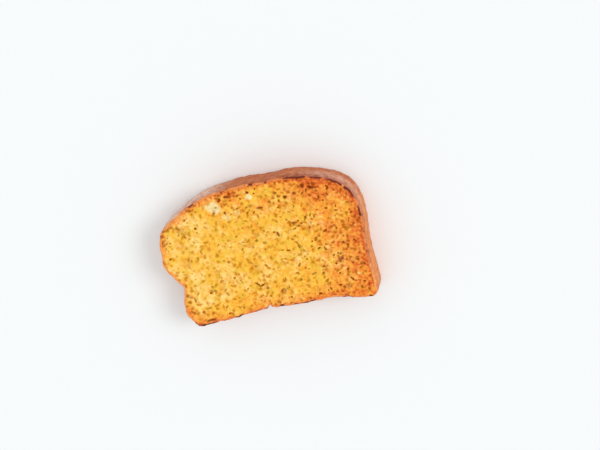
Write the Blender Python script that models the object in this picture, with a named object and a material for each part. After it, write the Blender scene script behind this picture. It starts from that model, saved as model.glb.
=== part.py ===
"""A thick slice of garlic bread, cut across a tin loaf and lying flat on its lower cut face.

Metres, +Z up. X runs along the loaf's base, Y from the base to the crown and Z through the
slice's thickness. The origin is under the middle of the slice, on what it lies on.
Run it with: blender --background --python part.py
"""

import math

import bmesh
import bpy
import numpy as np
from mathutils import Euler, Vector

MM = 0.001

# Driving dimensions.
SLICE_WIDTH = 140.0 * MM  # across the crown, from side to side
SLICE_HEIGHT = 94.0 * MM  # from the loaf's base to the top of its crown
SLICE_THICKNESS = 23.5 * MM  # the bread alone, without the toppings on it

# The outline, anticlockwise, in shares of half the width and half the height. Each side ends
# in the corner that the next one starts from.
BASE = (
    (-0.815, -0.950), (-0.740, -1.000), (-0.610, -0.975), (-0.342, -0.930), (-0.105, -0.877),
    (0.104, -0.877), (0.361, -0.876), (0.569, -0.851), (0.762, -0.908), (0.921, -0.939),
)
RIGHT_SIDE = (
    (0.986, -0.889), (1.000, -0.744), (0.985, -0.368), (0.986, -0.081), (1.000, 0.226),
    (0.979, 0.519),
)
CROWN = (
    (0.895, 0.742), (0.766, 0.867), (0.533, 0.973), (0.327, 1.000), (0.130, 0.983),
    (-0.024, 0.996), (-0.298, 0.954), (-0.530, 0.874), (-0.767, 0.692),
)
LEFT_SIDE = (
    (-0.931, 0.527), (-0.987, 0.343), (-0.998, 0.114), (-0.996, -0.025), (-0.912, -0.249),
    (-0.855, -0.389), (-0.892, -0.651), (-0.877, -0.824),
)
SAMPLES_PER_SPAN = 24  # points worked out between two points of the outline

# The ragged edge: the crust is finely uneven, and torn where the loaf left its tin.
CRUST_UNEVEN = 0.25 * MM
BASE_RAGGED = 0.65 * MM
RAGGED_STEP = 3.4 * MM  # from one crag to the next
TEAR_AT = -0.064  # the one clear tear in the base, in shares of half the width
TEAR_WIDTH = 1.9 * MM
TEAR_DEPTH = 1.9 * MM  # at the upper face, and it closes towards the lower one

# The edge between a cut face and the crust, and the crust's own bulge.
EDGE_INSET = 0.9 * MM
EDGE_DROP = 1.0 * MM
CRUST_BULGE = 0.35 * MM

# The toasted face.
FACE_WAVE = 0.9 * MM  # the slow rise and fall of the cut
WAVE_LENGTH = 27.0 * MM
PORE_COUNT = 46  # the large pores, those that show from a step away
PORE_RADIUS = (2.3 * MM, 4.6 * MM)
PORE_DEPTH = 0.45  # in shares of the pore's radius
PORE_SEED = 11

# The toppings that are fused to the face.
PARSLEY_COUNT = 84
PARSLEY_LENGTH = (1.7 * MM, 3.0 * MM)
PARSLEY_THICKNESS = 0.6 * MM
PARSLEY_SIDES = 6
PARSLEY_SEED = 5
GARLIC_COUNT = 12
GARLIC_SIZE = (2.4 * MM, 3.6 * MM)
GARLIC_SEED = 8
EDGE_CLEARANCE = 5.0 * MM  # from the toppings to the crust

# The mesh.
GRID_X = 54
GRID_Y = 35
WALL_ROWS = 6

NODE = "garlic_bread_slice"
PARTS = "garlic_bread"
TOPPINGS = "toppings"


# ---- numbers from a rule -------------------------------------------------------------------


def hashed(ix, iy, seed):
    """An even number from 0 to 1 for each point of a whole-number lattice."""
    mixed = np.sin(ix * 127.1 + iy * 311.7 + seed * 74.7) * 43758.5453
    return mixed - np.floor(mixed)


def smooth_noise(x, y, seed):
    """Value noise from -1 to 1: the lattice's numbers, eased from one point to the next."""
    ix, iy = np.floor(x), np.floor(y)
    fx, fy = x - ix, y - iy
    fx, fy = fx * fx * (3 - 2 * fx), fy * fy * (3 - 2 * fy)
    low = hashed(ix, iy, seed) * (1 - fx) + hashed(ix + 1, iy, seed) * fx
    high = hashed(ix, iy + 1, seed) * (1 - fx) + hashed(ix + 1, iy + 1, seed) * fx
    return 2 * (low * (1 - fy) + high * fy) - 1


def spread_points(count, seed, clearance):
    """Points spread evenly over the face, the given clearance inside the crust: one drawn in
    each cell of a lattice, and count of them."""
    draw = np.random.default_rng(seed)
    edge = outline(clearance)
    step = math.sqrt(SLICE_WIDTH * SLICE_HEIGHT * 0.78 / count)
    columns, rows = int(SLICE_WIDTH / step) + 1, int(SLICE_HEIGHT / step) + 1
    cell_x, cell_y = np.meshgrid(np.arange(columns), np.arange(rows))
    x = (cell_x.ravel() + draw.random(cell_x.size) - columns / 2) * step
    y = (cell_y.ravel() + draw.random(cell_y.size) - rows / 2) * step
    inside = within(x, y, edge)
    x, y = x[inside], y[inside]
    chosen = draw.permutation(len(x))[:count]
    return np.stack([x[chosen], y[chosen]], axis=1)


def within(x, y, edge):
    """Which points lie inside a closed line, by how often a ray to the right crosses it."""
    x0, y0 = edge[:, 0], edge[:, 1]
    x1, y1 = np.roll(x0, -1), np.roll(y0, -1)
    spans = (y0 > y[:, None]) != (y1 > y[:, None])
    rise = np.where(y1 == y0, 1.0, y1 - y0)
    crossing = x0 + (y[:, None] - y0) / rise * (x1 - x0)
    return (spans & (x[:, None] < crossing)).sum(axis=1) % 2 == 1


# ---- the outline ---------------------------------------------------------------------------


def curve_through(points):
    """A closed Catmull-Rom curve through the points, SAMPLES_PER_SPAN samples to a span."""
    before, after = np.roll(points, 1, axis=0), np.roll(points, -1, axis=0)
    second = np.roll(points, -2, axis=0)
    t = (np.arange(SAMPLES_PER_SPAN) / SAMPLES_PER_SPAN)[None, :, None]
    p0, p1, p2, p3 = (p[:, None, :] for p in (before, points, after, second))
    spans = 0.5 * (
        2 * p1
        + (p2 - p0) * t
        + (2 * p0 - 5 * p1 + 4 * p2 - p3) * t**2
        + (3 * p1 - p0 - 3 * p2 + p3) * t**3
    )
    return spans.reshape(-1, 2)


def outward(line):
    """The outward unit normals of a closed line that runs anticlockwise."""
    along = np.roll(line, -1, axis=0) - np.roll(line, 1, axis=0)
    along /= np.linalg.norm(along, axis=1)[:, None]
    return np.stack([along[:, 1], -along[:, 0]], axis=1)


def raggedness(line, share):
    """How far the crust stands out of the smooth outline, at a share of the slice's thickness.
    It is finely uneven all round, with crags along the base and one tear in it, and it changes
    slowly from the lower face to the upper one."""
    x, y = line[:, 0] / RAGGED_STEP, line[:, 1] / RAGGED_STEP
    lower = 0.7 * smooth_noise(x, y, 2) + 0.3 * smooth_noise(2.3 * x, 2.3 * y, 5)
    upper = 0.7 * smooth_noise(x, y, 3) + 0.3 * smooth_noise(2.3 * x, 2.3 * y, 4)
    on_base = np.clip((-0.7 - line[:, 1] / (SLICE_HEIGHT / 2)) / 0.1, 0, 1)
    size = CRUST_UNEVEN + (BASE_RAGGED - CRUST_UNEVEN) * on_base
    tear = np.exp(-((2 * (line[:, 0] - TEAR_AT * SLICE_WIDTH / 2) / TEAR_WIDTH) ** 2))
    return size * (lower + (upper - lower) * share) - TEAR_DEPTH * share * tear * on_base


def outline(inset=0.0, share=1.0):
    """The slice's outline at a share of its thickness, drawn in by inset."""
    shares = np.array(BASE + RIGHT_SIDE + CROWN + LEFT_SIDE)
    line = curve_through(shares * (SLICE_WIDTH / 2, SLICE_HEIGHT / 2))
    normals = outward(line)
    return line + normals * (raggedness(line, share) - inset)[:, None]


def sides_of(line):
    """The outline cut at its four corners: base, right side, crown and left side. Each one is
    turned to run left to right or upwards."""
    counts = [len(side) for side in (BASE, RIGHT_SIDE, CROWN, LEFT_SIDE)]
    ends = np.concatenate([[0], np.cumsum(counts)]) * SAMPLES_PER_SPAN
    closed = np.vstack([line, line[:1]])
    base, right, crown, left = (closed[a : b + 1] for a, b in zip(ends[:-1], ends[1:]))
    return base, right, crown[::-1], left[::-1]


def along(side, share):
    """The points at shares 0 to 1 of a side's length."""
    steps = np.linalg.norm(np.diff(side, axis=0), axis=1)
    length = np.concatenate([[0], np.cumsum(steps)])
    at = np.asarray(share) * length[-1]
    return np.stack([np.interp(at, length, side[:, k]) for k in (0, 1)], axis=-1)


def patch(u, v, line):
    """A Coons patch: the unit square laid between the four sides of an outline."""
    base, right, crown, left = sides_of(line)
    u1, v1 = u[:, None], v[:, None]
    between_rows = (1 - v1) * along(base, u) + v1 * along(crown, u)
    between_columns = (1 - u1) * along(left, v) + u1 * along(right, v)
    corners = (
        (1 - u1) * (1 - v1) * base[0]
        + u1 * (1 - v1) * base[-1]
        + (1 - u1) * v1 * crown[0]
        + u1 * v1 * crown[-1]
    )
    return between_rows + between_columns - corners


# ---- the bread -----------------------------------------------------------------------------


def pores():
    """The large pores in the face: x, y and radius of each."""
    places = spread_points(PORE_COUNT, PORE_SEED, EDGE_CLEARANCE)
    draw = np.random.default_rng(PORE_SEED + 1)
    low, high = PORE_RADIUS
    radius = low + (high - low) * draw.random(len(places)) ** 2
    return np.column_stack([places, radius])


def face_relief(x, y):
    """The toasted face's height over its flat plane: a slow wave, less the large pores."""
    wave = FACE_WAVE * smooth_noise(x / WAVE_LENGTH, y / WAVE_LENGTH, 1)
    holes = pores()
    apart = np.hypot(x[:, None] - holes[:, 0], y[:, None] - holes[:, 1]) / holes[:, 2]
    depth = PORE_DEPTH * holes[:, 2] * np.clip(1 - apart**2, 0, None)
    return wave - depth.max(axis=1)


def level_of(row):
    """The height of a row of the crust, and how far it is drawn in. The first and last rows
    are the cut faces' own edges, and the crust bulges a little between them."""
    if row in (0, WALL_ROWS):
        return (0.0 if row == 0 else SLICE_THICKNESS), EDGE_INSET
    share = (row - 1) / (WALL_ROWS - 2)
    height = EDGE_DROP + share * (SLICE_THICKNESS - 2 * EDGE_DROP)
    return height, -CRUST_BULGE * math.sin(math.pi * share)


def make_bread():
    """A square grid, extruded row by row and laid between the outline's sides. Its lower face
    stays flat, and its upper one gets the pores."""
    mesh = bpy.data.meshes.new(NODE)
    cage = bmesh.new()
    bmesh.ops.create_grid(cage, x_segments=GRID_X, y_segments=GRID_Y, size=0.5)
    top = list(cage.faces)
    for row in range(WALL_ROWS):
        made = bmesh.ops.extrude_face_region(cage, geom=top)["geom"]
        moved = [v for v in made if isinstance(v, bmesh.types.BMVert)]
        bmesh.ops.translate(cage, verts=moved, vec=(0, 0, 1))
        if row > 0:  # the first grid stays as the lower face, and the rest were inside
            bmesh.ops.delete(cage, geom=top, context="FACES")
        top = [f for f in made if isinstance(f, bmesh.types.BMFace)]
    bmesh.ops.recalc_face_normals(cage, faces=cage.faces)
    rows = [[] for _ in range(WALL_ROWS + 1)]
    for vert in cage.verts:
        rows[round(vert.co.z)].append(vert)
    for row, verts in enumerate(rows):
        place_row(verts, row)
    flatten_underside(cage)
    cage.to_mesh(mesh)
    cage.free()
    return link(NODE, mesh, PARTS)


def place_row(verts, row):
    """Moves one level of the extruded grid to its place in the slice."""
    square = np.array([v.co[:2] for v in verts]) + 0.5
    height, inset = level_of(row)
    line = outline(inset, height / SLICE_THICKNESS)
    places = patch(square[:, 0], square[:, 1], line)
    z = np.full(len(verts), height)
    if row == WALL_ROWS:
        z += face_relief(places[:, 0], places[:, 1])
    for vert, (x, y), level in zip(verts, places, z):
        vert.co = (x, y, level)


def flatten_underside(cage):
    """Joins the faces of the lower cut into one flat face, for the slice to lie on."""
    lower = [f for f in cage.faces if all(abs(v.co.z) < 1e-7 for v in f.verts)]
    bmesh.ops.dissolve_faces(cage, faces=lower, use_verts=True)


# ---- the toppings --------------------------------------------------------------------------


def parsley_flakes():
    """Flat chips of dried parsley: six-sided discs, longer than wide, each lying askew with
    its lower half in the crumb."""
    places = spread_points(PARSLEY_COUNT, PARSLEY_SEED, EDGE_CLEARANCE)
    draw = np.random.default_rng(PARSLEY_SEED + 1)
    heights = SLICE_THICKNESS + face_relief(places[:, 0], places[:, 1])
    low, high = PARSLEY_LENGTH
    for number, ((x, y), z) in enumerate(zip(places, heights)):
        length = low + (high - low) * draw.random()
        bpy.ops.mesh.primitive_cylinder_add(
            vertices=PARSLEY_SIDES, radius=0.5, depth=1.0, location=(x, y, z)
        )
        flake = bpy.context.active_object
        flake.name = f"parsley_{number:02d}"
        flake.scale = (length, length * (0.45 + 0.3 * draw.random()), PARSLEY_THICKNESS)
        lean = 0.35 * (draw.random(2) - 0.5)
        flake.rotation_euler = Euler((lean[0], lean[1], math.tau * draw.random()))
        move_to(flake, TOPPINGS)


def garlic_bits():
    """Bits of chopped garlic: low lumps, each sunk by a third."""
    places = spread_points(GARLIC_COUNT, GARLIC_SEED, 2 * EDGE_CLEARANCE)
    draw = np.random.default_rng(GARLIC_SEED + 1)
    heights = SLICE_THICKNESS + face_relief(places[:, 0], places[:, 1])
    low, high = GARLIC_SIZE
    for number, ((x, y), z) in enumerate(zip(places, heights)):
        size = low + (high - low) * draw.random()
        bpy.ops.mesh.primitive_uv_sphere_add(
            segments=7, ring_count=5, radius=0.5, location=(x, y, z)
        )
        bit = bpy.context.active_object
        bit.name = f"garlic_{number:02d}"
        bit.scale = (size, size * (0.65 + 0.25 * draw.random()), size * 0.5)
        bit.rotation_euler = Euler((0, 0, math.tau * draw.random()))
        move_to(bit, TOPPINGS)


def fuse_toppings(bread):
    """Joins the toppings to the bread as one solid, and removes their own objects."""
    union = bread.modifiers.new("toppings", "BOOLEAN")
    union.operation = "UNION"
    union.operand_type = "COLLECTION"
    union.collection = bpy.data.collections[TOPPINGS]
    union.solver = "EXACT"
    bpy.context.view_layer.update()
    evaluated = bread.evaluated_get(bpy.context.evaluated_depsgraph_get())
    fused = bpy.data.meshes.new_from_object(evaluated)
    bread.modifiers.remove(union)
    bread.data = fused
    for topping in list(bpy.data.collections[TOPPINGS].objects):
        bpy.data.objects.remove(topping)
    bpy.data.collections.remove(bpy.data.collections[TOPPINGS])


def centre_on_base(bread):
    """Moves the finished mesh so that the middle of its box is over the origin."""
    points = np.array([v.co for v in bread.data.vertices])
    middle = (points.min(axis=0) + points.max(axis=0)) / 2
    shift = Vector((-middle[0], -middle[1], -points[:, 2].min()))
    for vertex in bread.data.vertices:
        vertex.co += shift


# ---- the scene -----------------------------------------------------------------------------


def clear_scene():
    """Removes the start-up objects and makes the two collections."""
    for obj in list(bpy.data.objects):
        bpy.data.objects.remove(obj)
    for name in (PARTS, TOPPINGS):
        group = bpy.data.collections.new(name)
        bpy.context.scene.collection.children.link(group)


def link(name, mesh, group):
    """Puts a mesh in the scene as an object of that name."""
    obj = bpy.data.objects.new(name, mesh)
    bpy.data.collections[group].objects.link(obj)
    return obj


def move_to(obj, group):
    """Moves an object that an operator made into one of the collections."""
    for old in list(obj.users_collection):
        old.objects.unlink(obj)
    bpy.data.collections[group].objects.link(obj)


def toast_material():
    """Golden toasted crumb, dull."""
    material = bpy.data.materials.new("toasted_bread")
    material.use_nodes = True
    surface = material.node_tree.nodes["Principled BSDF"]
    surface.inputs["Base Color"].default_value = (0.84, 0.42, 0.09, 1.0)
    surface.inputs["Roughness"].default_value = 0.7
    surface.inputs["Metallic"].default_value = 0.0
    return material


def main():
    clear_scene()
    bread = make_bread()
    parsley_flakes()
    garlic_bits()
    fuse_toppings(bread)
    centre_on_base(bread)
    bread.data.materials.clear()
    bread.data.materials.append(toast_material())
    bread.data.shade_smooth()
    bread.data.set_sharp_from_angle(angle=math.radians(40))


if __name__ == "__main__":
    main()
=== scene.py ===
"""The looks of a slice of garlic bread: its toasted crumb, its crust and what is sprinkled on it.

Metres, +Z up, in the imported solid's frame: X runs along the loaf's base, Y from the base to the
crown and Z up through the slice. It is laid out as a Blender 4.5 add-on and run as a script.
"""

import math

import bpy
import numpy as np
from bpy.props import FloatProperty, FloatVectorProperty, IntProperty, PointerProperty
from bpy.types import NodeSocket, Operator, Panel, PropertyGroup
from mathutils import Euler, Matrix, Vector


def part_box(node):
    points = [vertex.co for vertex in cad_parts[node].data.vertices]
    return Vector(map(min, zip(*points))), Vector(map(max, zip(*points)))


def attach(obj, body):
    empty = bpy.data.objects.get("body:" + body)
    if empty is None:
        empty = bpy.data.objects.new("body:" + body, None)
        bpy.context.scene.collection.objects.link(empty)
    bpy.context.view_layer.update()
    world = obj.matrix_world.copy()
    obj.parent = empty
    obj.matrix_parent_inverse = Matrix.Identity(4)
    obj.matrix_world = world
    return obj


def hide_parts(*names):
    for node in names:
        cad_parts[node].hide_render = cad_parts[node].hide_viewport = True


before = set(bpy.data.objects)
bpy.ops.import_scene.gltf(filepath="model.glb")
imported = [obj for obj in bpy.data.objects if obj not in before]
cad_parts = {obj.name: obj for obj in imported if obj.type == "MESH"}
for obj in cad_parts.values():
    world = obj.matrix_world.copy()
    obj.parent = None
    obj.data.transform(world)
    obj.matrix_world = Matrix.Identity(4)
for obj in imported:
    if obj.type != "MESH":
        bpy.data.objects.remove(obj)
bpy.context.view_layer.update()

bl_info = {
    "name": "Garlic bread slice",
    "version": (1, 0, 0),
    "blender": (4, 5, 0),
    "location": "3D View > Sidebar > Garlic bread",
    "description": "A toasted slice of garlic bread, with its crumb, crust, parsley and garlic",
    "category": "Add Mesh",
}

NODE = "garlic_bread_slice"
BODY = "root"
MM = 0.001
TURN = 2 * math.pi

# ---- the slice, as the solid has it --------------------------------------------------------

SLICE_WIDTH = 140.0 * MM  # across the crown, from side to side
SLICE_HEIGHT = 94.0 * MM  # from the loaf's base to the top of its crown
SLICE_THICKNESS = 23.5 * MM  # the bread alone, without what is on it

# The outline, anticlockwise, in shares of half the width and half the height. Each side ends
# in the corner that the next one starts from.
BASE = (
    (-0.815, -0.950), (-0.740, -1.000), (-0.610, -0.975), (-0.342, -0.930), (-0.105, -0.877),
    (0.104, -0.877), (0.361, -0.876), (0.569, -0.851), (0.762, -0.908), (0.921, -0.939),
)
RIGHT_SIDE = (
    (0.986, -0.889), (1.000, -0.744), (0.985, -0.368), (0.986, -0.081), (1.000, 0.226),
    (0.979, 0.519),
)
CROWN = (
    (0.895, 0.742), (0.766, 0.867), (0.533, 0.973), (0.327, 1.000), (0.130, 0.983),
    (-0.024, 0.996), (-0.298, 0.954), (-0.530, 0.874), (-0.767, 0.692),
)
LEFT_SIDE = (
    (-0.931, 0.527), (-0.987, 0.343), (-0.998, 0.114), (-0.996, -0.025), (-0.912, -0.249),
    (-0.855, -0.389), (-0.892, -0.651), (-0.877, -0.824),
)
SAMPLES_PER_SPAN = 24  # points worked out between two points of the outline
FINE_SAMPLES = 2 * SAMPLES_PER_SPAN

CRUST_UNEVEN = 0.25 * MM
BASE_RAGGED = 0.65 * MM
RAGGED_STEP = 3.4 * MM  # from one crag to the next
TEAR_AT = -0.064  # the tear in the base, in shares of half the width
TEAR_WIDTH = 1.9 * MM
TEAR_DEPTH = 1.9 * MM
EDGE_INSET = 0.9 * MM
EDGE_DROP = 1.0 * MM
CRUST_BULGE = 0.35 * MM

FACE_WAVE = 0.9 * MM  # the slow rise and fall of the cut
WAVE_LENGTH = 27.0 * MM
PORE_COUNT = 46  # the large pores
PORE_RADIUS = (2.3 * MM, 4.6 * MM)
PORE_DEPTH = 0.45  # in shares of the pore's radius
PORE_SEED = 11

PARSLEY_COUNT = 84
PARSLEY_LENGTH = (1.7 * MM, 3.0 * MM)
PARSLEY_SEED = 5
GARLIC_COUNT = 12
GARLIC_SIZE = (2.4 * MM, 3.6 * MM)
GARLIC_SEED = 8
EDGE_CLEARANCE = 5.0 * MM  # from the toppings to the crust

# ---- finer than the solid ------------------------------------------------------------------

TOP_COLUMNS = 328  # the lower face has half as many columns and rows
TOP_ROWS = 216
CRUST_COLUMNS = 928
CRUST_WALL_ROWS = 58
CRUST_STRIPS = 4  # the crust's map is cut into so many strips, one above another
CRUMB_INSET = 1.0 * MM  # the crumb's own side lies so deep in the crust

# Small pores, in sizes from coarse to fine: from one to the next, least and largest radius,
# and depth in shares of the radius.
SMALL_PORES = (
    (5.8 * MM, 1.0 * MM, 2.3 * MM, 0.34),
    (3.8 * MM, 0.75 * MM, 1.85 * MM, 0.40),
    (2.0 * MM, 0.35 * MM, 0.95 * MM, 0.32),
)
PORE_STRETCH = 1.25  # how much longer than round a small pore is, and narrower
# The pores' outlines are pulled about in steps of such a length by so much.
WARPS = ((2.6 * MM, 0.7 * MM), (1.1 * MM, 0.2 * MM))
GRAIN = ((1.6 * MM, 0.15 * MM), (0.8 * MM, 0.06 * MM))  # step and size of the crumb's grain
WRINKLES = ((3.1 * MM, 0.20 * MM, 3), (1.5 * MM, 0.10 * MM, 9))  # the crust's, with seeds
EDGE_WAVE = (4.5 * MM, 0.45 * MM)  # step and size of the upper edge's swing in and out
LIP_WAVE = (2.0 * MM, 0.30 * MM)  # step and size of its rise and fall

# The crumb's map: the left, the bottom, the width and the height of each face's place.
TOP_ON_MAP = (0.01, 0.35, 0.98, 0.64)
BOTTOM_ON_MAP = (0.01, 0.01, 0.48, 0.32)
SIDE_ON_MAP = (0.51, 0.48)  # the unrolled side's left and width
SIDE_ROWS = (0.01, 0.27, 0.28, 0.33)  # the bottom and top of its triangles and of its quads

# Marks on the toasted face by kind: each one's middle in millimetres, its length, its width,
# its turn in degrees and its strength.
MARKS = {
    "bare": (
        (-27.4, 34.1, 10.0, 8.0, -20, 0.85), (-19.8, 26.2, 6.0, 4.6, -35, 0.45),
        (-11.8, 28.6, 3.6, 4.4, 0, 0.4), (-1.8, 38.2, 5.2, 4.0, 10, 1.0),
    ),
    "smudge": (
        (-52.8, 22.0, 6.5, 6.0, 70, 0.35), (-53.6, 23.6, 3.4, 2.2, 100, 0.85),
        (-54.6, 20.0, 2.6, 1.8, 60, 0.8), (-51.0, 18.9, 4.4, 1.8, 105, 0.85),
        (-2.8, 32.0, 4.8, 3.4, 0, 0.55), (-2.4, 31.8, 2.2, 2.0, 0, 0.95),
        (-25.3, -4.6, 2.6, 2.6, 0, 0.8), (27.0, -5.0, 2.8, 2.4, 80, 0.8),
        (22.8, 39.0, 2.4, 2.2, 0, 0.7),
    ),
    "stain": (
        (-49.6, 20.4, 4.4, 2.2, 100, 0.3), (50.2, -15.0, 5.4, 4.8, 60, 0.95),
        (6.9, -30.6, 4.6, 3.4, 30, 0.7), (52.0, -34.0, 5.0, 4.0, 20, 0.6),
        (34.8, 13.0, 4.4, 3.8, 0, 0.4), (-2.2, 11.0, 5.0, 3.4, 0, 0.5),
    ),
    "burn": (
        (-46.0, -43.2, 8.0, 1.8, 10, 0.8), (34.9, 39.6, 3.4, 3.6, 30, 0.9),
        (40.6, 37.5, 6.0, 2.2, -18, 0.95), (27.4, 16.4, 1.8, 1.7, 0, 0.85),
        (29.4, 14.3, 1.8, 1.8, 0, 0.8), (27.2, 12.9, 2.0, 1.8, 0, 0.85),
        (25.8, 15.2, 1.7, 1.5, 0, 0.6), (22.3, 34.1, 2.8, 2.6, 0, 0.95),
        (16.0, 37.6, 2.6, 2.0, 10, 0.75), (-2.1, 41.2, 2.4, 2.0, 0, 0.95),
        (4.0, 29.4, 4.8, 1.9, -4, 0.85), (-17.0, 40.4, 3.8, 2.0, -5, 0.85),
        (12.2, 9.4, 3.6, 2.1, 105, 0.85), (-3.1, 7.2, 2.2, 1.8, 0, 0.75),
        (23.2, 6.2, 2.4, 1.8, 90, 0.55), (36.6, -22.6, 2.6, 2.2, 60, 0.65),
        (29.9, -21.9, 3.2, 2.0, 10, 0.6), (-3.0, -27.0, 2.6, 2.3, 0, 0.75),
        (-2.0, -32.6, 2.1, 2.1, 0, 0.65), (41.6, -6.3, 2.5, 2.1, 0, 0.8),
        (54.2, -3.7, 3.2, 1.9, -10, 0.75), (-39.2, -23.0, 2.4, 2.1, 0, 0.6),
        (-56.4, -25.0, 2.5, 2.1, 0, 0.55), (-54.0, -27.3, 4.6, 1.7, 100, 0.5),
        (-57.4, -28.6, 2.4, 2.2, 0, 0.45), (-60.0, 25.4, 4.4, 1.9, 30, 0.55),
        (-64.2, 23.9, 2.4, 2.0, 0, 0.55), (-44.8, 35.2, 3.0, 2.0, -20, 0.4),
        (-10.4, 42.4, 2.4, 1.6, -30, 0.55), (-9.6, 39.9, 2.4, 1.6, 0, 0.5),
        (-56.4, -36.6, 2.4, 2.2, 0, 0.6),
    ),
    "butter": (
        (-4.0, 20.0, 34.0, 13.0, 82, 1.0), (5.0, 29.0, 16.0, 14.0, 0, 1.0),
        (25.0, -20.0, 11.0, 8.0, 20, 1.0), (45.0, 10.0, 10.0, 8.0, 60, 1.0),
        (56.0, -20.0, 10.0, 9.0, 0, 1.0), (65.0, 15.0, 17.0, 7.0, 85, 1.0),
    ),
    "amber": (
        (1.2, 0.6, 5.2, 4.4, 0, 0.9), (-6.0, -7.0, 6.4, 4.2, 0, 0.7),
        (16.0, -8.5, 7.0, 5.0, -30, 0.7), (30.5, -14.6, 4.0, 5.0, 20, 0.9),
        (-24.0, 22.0, 4.6, 4.2, 0, 0.9), (-7.0, 8.0, 6.0, 4.5, 20, 0.7),
        (4.5, 20.5, 7.0, 5.0, -20, 0.5), (-39.3, 14.6, 3.8, 3.4, 0, 0.8),
    ),
    "crack": (
        (-9.0, -23.6, 5.2, 1.3, -43, 0.8), (-6.3, -24.5, 4.2, 1.3, 25, 0.8),
    ),
}


def linear(hex_value):
    """The linear colour of an sRGB hex value such as F2B84B."""
    shares = [int(hex_value[at : at + 2], 16) / 255 for at in (0, 2, 4)]
    return tuple(c / 12.92 if c <= 0.04045 else ((c + 0.055) / 1.055) ** 2.4 for c in shares)


def colour(name, description, hex_value):
    """A colour that a user can change."""
    return FloatVectorProperty(
        name=name,
        description=description,
        default=linear(hex_value),
        subtype="COLOR",
        min=0.0,
        max=1.0,
    )


# ---- settings ------------------------------------------------------------------------------


class CrumbSettings(PropertyGroup):
    """The cut faces."""

    pale: colour("Pale crumb", "Crumb that the butter left pale", "FFDB88")
    gold: colour("Golden crumb", "Crumb that is soaked in butter and lightly toasted", "FAC048")
    butter: colour("Buttery hollow", "Where butter stood in a hollow", "E49E1C")
    herb: colour("Herb butter", "Where the butter took green from the parsley", "DCC248")
    toasted: colour("Toasted crumb", "Crumb on the side that was nearer to the heat", "F08C38")
    scorched: colour("Scorched crumb", "Crumb right at the crust, toasted red", "CE4E24")
    # pit and browned are painted shade on the floors of the pores: pit where the crumb is pale, browned
    # where it is toasted.
    pit: colour("Small pores", "The floor of the small pores", "B06C00")
    browned: colour("Browned pores", "The floor of the small pores where the crumb is toasted", "963C02")
    bare: colour("Bare crumb", "Crumb that neither butter nor heat reached", "F2E2A8")
    smudged: colour("Smudged crumb", "Where herb butter dried brown", "A26404")
    stained: colour("Stained crumb", "Where the crumb took the crust's colour", "984824")
    charred: colour("Charred", "Burnt spots", "702A00")
    toast: FloatProperty(
        name="Toasting",
        description="How far the toasting has gone, 1 for golden",
        default=1.0,
        min=0.0,
        max=2.0,
        subtype="FACTOR",
    )


class CrustSettings(PropertyGroup):
    """The loaf's outside."""

    depth: FloatProperty(
        name="Depth",
        description="From the loaf's outside to where its crumb starts",
        default=1.7 * MM,
        min=1.2 * MM,
        max=3.0 * MM,
        unit="LENGTH",
    )
    side: colour("Side", "The crust as the tin baked it", "E48E48")
    crown: colour("Crown", "The crust at the top of the loaf, baked browner", "C26A36")
    flour: colour("Flour", "Where flour from the tin still shows", "ECC8B4")
    speck: colour("Specks", "Small blisters that baked darkest", "94462E")
    lip: colour("Lip", "The crust's cut edge, toasted orange", "F09E56")
    rust: colour("Rust", "Where the cut edge toasted red", "CE5C2E")
    rim: colour("Rim", "Where the cut edge charred", "6C2C1C")
    charred: colour("Charred", "Burnt spots", "3C1408")


class ToppingSettings(PropertyGroup):
    """What is sprinkled on the buttered face."""

    fine_parsley: IntProperty(
        name="Fine parsley",
        description="How many small flecks there are besides the large ones",
        default=46,
        min=0,
        max=800,
    )
    fine_garlic: IntProperty(
        name="Fine garlic",
        description="How many small bits of garlic there are besides the large ones",
        default=22,
        min=0,
        max=200,
    )
    crumbs: IntProperty(
        name="Dark crumbs",
        description="How many burnt crumbs lie on the face",
        default=38,
        min=0,
        max=600,
    )
    parsley_pale: colour("Pale parsley", "Dried parsley that the butter stained ochre", "C6922A")
    parsley_brown: colour("Brown parsley", "Dried parsley that the grill browned", "964606")
    garlic_pale: colour("Pale garlic", "Garlic that stayed pale", "FADC8C")
    garlic_toasted: colour("Toasted garlic", "Garlic that took colour", "DE9434")
    crumb_dark: colour("Dark crumbs", "Crumbs that burnt", "AE6610")


class StageSettings(PropertyGroup):
    """The floor and the light."""

    floor: colour("Floor", "A plain pale floor", "EFF2F3")
    floor_size: FloatProperty(
        name="Floor size", description="Across the floor", default=12.0, min=1.0, unit="LENGTH"
    )
    sky: FloatProperty(
        name="Fill light", description="The light from all round", default=0.88, min=0.0
    )
    key: FloatProperty(
        name="Key light", description="The soft light from one side", default=0.95, min=0.0
    )
    softness: FloatProperty(
        name="Softness",
        description="How wide the key light looks",
        default=math.radians(28),
        min=0.0,
        max=math.pi,
        subtype="ANGLE",
    )
    lens: FloatProperty(name="Lens", description="Focal length in mm", default=120.0, min=10.0)


class GarlicBread(PropertyGroup):
    """All that a user can change."""

    crumb: PointerProperty(type=CrumbSettings)
    crust: PointerProperty(type=CrustSettings)
    toppings: PointerProperty(type=ToppingSettings)
    stage: PointerProperty(type=StageSettings)


# ---- numbers from a rule -------------------------------------------------------------------


def hashed(ix, iy, seed):
    """An even number from 0 to 1 for each point of a whole-number lattice."""
    mixed = np.sin(ix * 127.1 + iy * 311.7 + seed * 74.7) * 43758.5453
    return mixed - np.floor(mixed)


def smooth_noise(x, y, seed):
    """Value noise from -1 to 1: the lattice's numbers, eased from one point to the next."""
    ix, iy = np.floor(x), np.floor(y)
    fx, fy = x - ix, y - iy
    fx, fy = fx * fx * (3 - 2 * fx), fy * fy * (3 - 2 * fy)
    low = hashed(ix, iy, seed) * (1 - fx) + hashed(ix + 1, iy, seed) * fx
    high = hashed(ix, iy + 1, seed) * (1 - fx) + hashed(ix + 1, iy + 1, seed) * fx
    return 2 * (low * (1 - fy) + high * fy) - 1


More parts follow.
